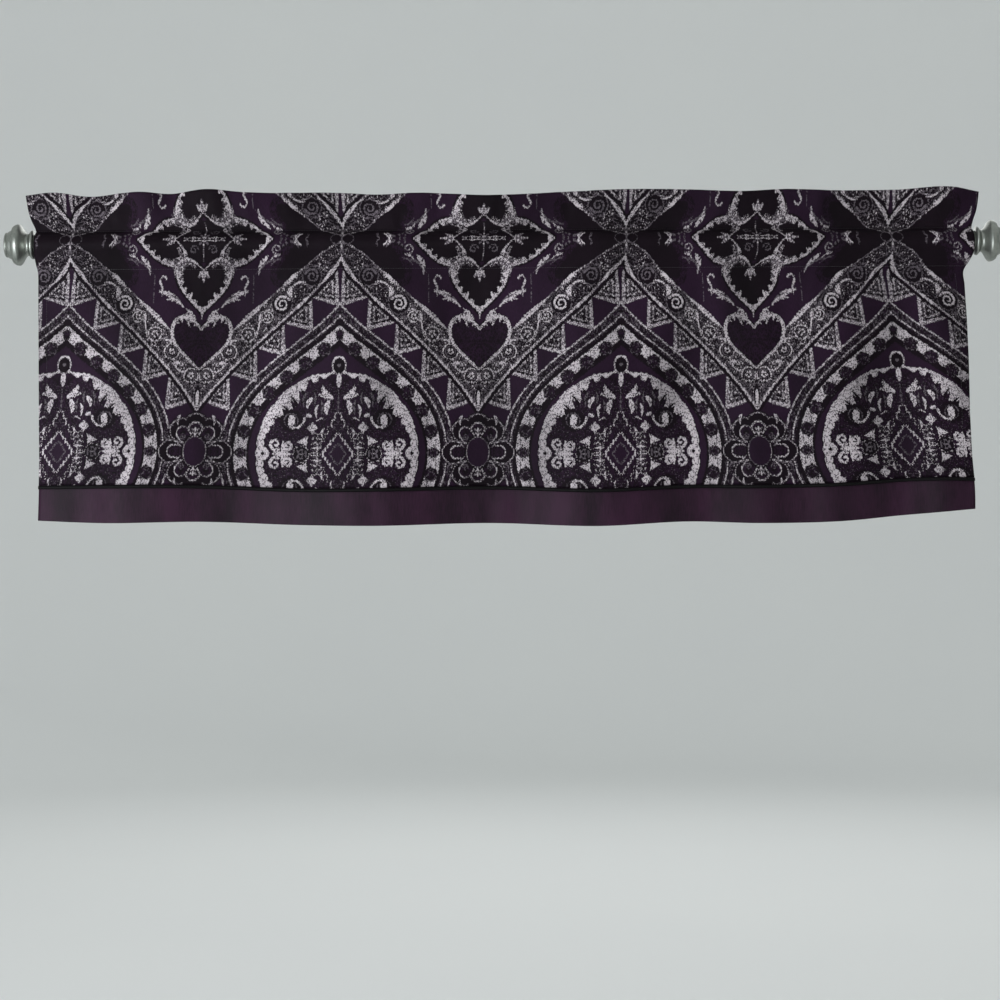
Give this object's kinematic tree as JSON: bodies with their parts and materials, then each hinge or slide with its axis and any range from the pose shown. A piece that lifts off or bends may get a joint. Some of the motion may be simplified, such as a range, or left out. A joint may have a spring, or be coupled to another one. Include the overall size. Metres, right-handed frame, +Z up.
{
  "type": "window valance on curtain rod",
  "caption": "Rod-pocket window valance of jacquard damask with a standing header, piped seam and plain bottom band, hung on a plain rod with turned finials.",
  "frame": {"origin": "middle of the rod's axis, between the two finials", "axes": "+X along the rod to the viewer's right, +Y towards the wall behind, +Z up"},
  "size_m": [1.3812, 0.0572, 0.4685],
  "materials": {
    "damask": "jacquard damask, silver-lilac figure on a plum and black ground",
    "cord": "piping cord covered in black satin",
    "satin": "plum sateen with a soft sheen",
    "pewter": "satin pewter plating"
  },
  "bodies": {
    "root": {"cloth": "damask", "piping": "cord", "band": "satin", "rod": "pewter", "finial_left": "pewter", "finial_right": "pewter"}
  },
  "joints": []
}
